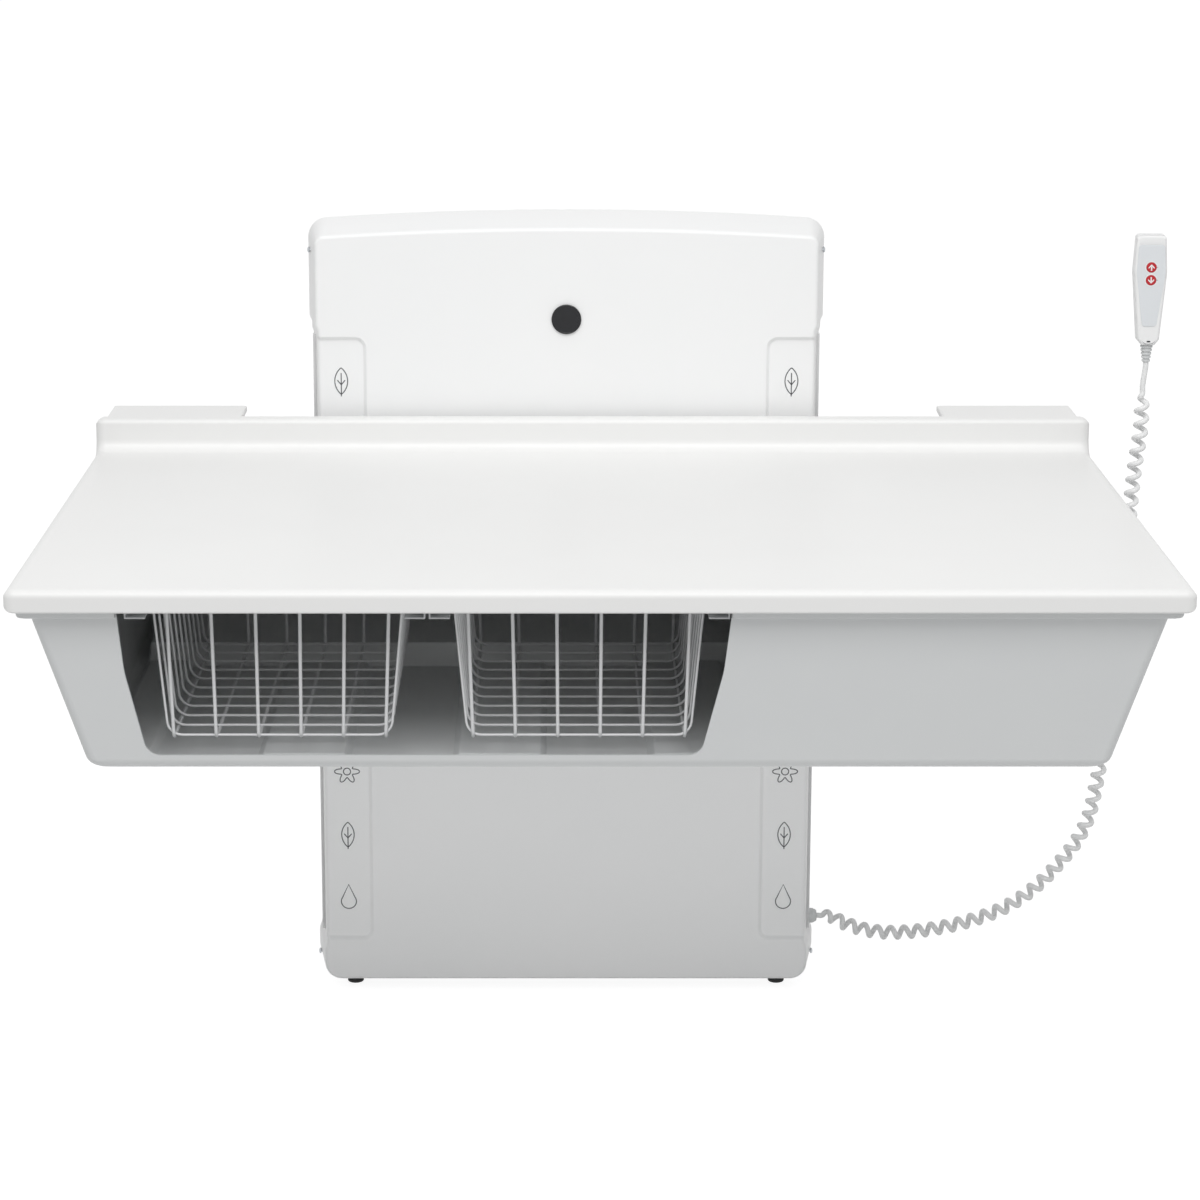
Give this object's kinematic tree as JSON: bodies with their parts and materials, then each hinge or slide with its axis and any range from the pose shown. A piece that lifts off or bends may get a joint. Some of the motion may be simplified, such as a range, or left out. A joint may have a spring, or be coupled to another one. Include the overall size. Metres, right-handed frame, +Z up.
{
  "type": "height-adjustable changing station",
  "caption": "Wall-mounted changing table on a powered lift, with a wide top, a storage tray below it that holds pull-out wire baskets, and a hand control on a curly cord.",
  "frame": {"origin": "middle of the wall frame's back face, on the lift's centreline, 562 mm above the floor", "axes": "+Z up, +Y into the wall, +X to the right for a person who faces the station"},
  "size_m": [1.5166, 0.905, 1.1463],
  "materials": {
    "white_top": "satin white moulded top",
    "white_moulding": "fine-grained white moulding",
    "grey_moulding": "satin pale grey moulding",
    "coated_steel": "white powder coat",
    "coated_wire": "white plastic-coated wire",
    "zinc_steel": "zinc plated",
    "black_enamel": "black enamel",
    "black_plastic": "satin black",
    "black_rubber": "matt",
    "white_cord": "smooth cord sheath",
    "handset_plastic": "satin moulded",
    "keypad_grey": "matt membrane",
    "red_button": "matt membrane",
    "circuit_board": "solder resist"
  },
  "bodies": {
    "lift": {"wall_frame": "coated_steel", "front_cover": "white_moulding", "badge_cap": "black_plastic", "side_cover_left": "white_moulding", "side_cover_right": "white_moulding", "foot_left": "black_rubber", "foot_right": "black_rubber", "cover_screw_lower_left": "zinc_steel", "cover_screw_upper_left": "zinc_steel", "cover_screw_lower_right": "zinc_steel", "cover_screw_upper_right": "zinc_steel", "guide_rail_left": "zinc_steel", "guide_rail_right": "zinc_steel", "lower_bearing_block": "zinc_steel", "gear_motor": "black_enamel", "control_box": "black_plastic", "mains_grommet": "black_rubber", "cord_gland": "grey_moulding", "handset_cord": "white_cord", "handset_holder": "white_moulding", "holder_screw_lower": "zinc_steel", "holder_screw_upper": "zinc_steel"},
    "screw": {"lead_screw": "zinc_steel"},
    "table": {"carriage_plate": "coated_steel", "lift_nut": "zinc_steel", "glide_shoe_lower_left": "black_plastic", "glide_shoe_upper_left": "black_plastic", "glide_shoe_lower_right": "black_plastic", "glide_shoe_upper_right": "black_plastic", "bracket_left": "coated_steel", "bracket_right": "coated_steel", "bracket_bolt_lower_left": "zinc_steel", "bracket_bolt_upper_left": "zinc_steel", "bracket_bolt_lower_right": "zinc_steel", "bracket_bolt_upper_right": "zinc_steel", "rear_beam": "coated_steel", "support_arm_left": "coated_steel", "support_arm_middle": "coated_steel", "support_arm_right": "coated_steel", "tabletop": "white_top", "gap_plate_left": "white_top", "gap_plate_right": "white_top", "under_tray": "grey_moulding", "basket_rail_left_left": "coated_steel", "basket_rail_left_right": "coated_steel", "basket_rail_right_left": "coated_steel", "basket_rail_right_right": "coated_steel"},
    "left_basket": {"basket_left": "coated_wire"},
    "right_basket": {"basket_right": "coated_wire"},
    "handset": {"handset_front_shell": "handset_plastic", "handset_back_shell": "handset_plastic", "handset_board": "circuit_board", "keypad_panel": "keypad_grey", "signal_lens": "black_plastic", "strain_relief": "grey_moulding", "cord_lead": "white_cord"},
    "raise_key": {"raise_button": "red_button"},
    "lower_key": {"lower_button": "red_button"}
  },
  "joints": [
    {"name": "table_lift", "type": "slide", "parent": "lift", "child": "table", "axis": [0, 0, 1], "range_m": [-0.5, 0.18]},
    {"name": "lead_screw_turn", "type": "hinge", "parent": "lift", "child": "screw", "pos_m": [0, -0.03, 0], "axis": [0, 0, 1], "continuous": true},
    {"name": "basket_left_pull", "type": "slide", "parent": "table", "child": "left_basket", "axis": [0, -1, 0], "range_m": [0, 0.35]},
    {"name": "basket_right_pull", "type": "slide", "parent": "table", "child": "right_basket", "axis": [0, -1, 0], "range_m": [0, 0.35]},
    {"name": "handset_lift", "type": "slide", "parent": "lift", "child": "handset", "axis": [0, 0, 1], "range_m": [0, 0.04]},
    {"name": "raise_button_press", "type": "slide", "parent": "handset", "child": "raise_key", "axis": [0, 1, 0], "range_m": [0, 0.001], "stiffness_N_per_m": 1500},
    {"name": "lower_button_press", "type": "slide", "parent": "handset", "child": "lower_key", "axis": [0, 1, 0], "range_m": [0, 0.001], "stiffness_N_per_m": 1500}
  ],
  "couplings": [
    {"joint": "lead_screw_turn", "follows": "table_lift", "rad_per_m": 785.4}
  ]
}
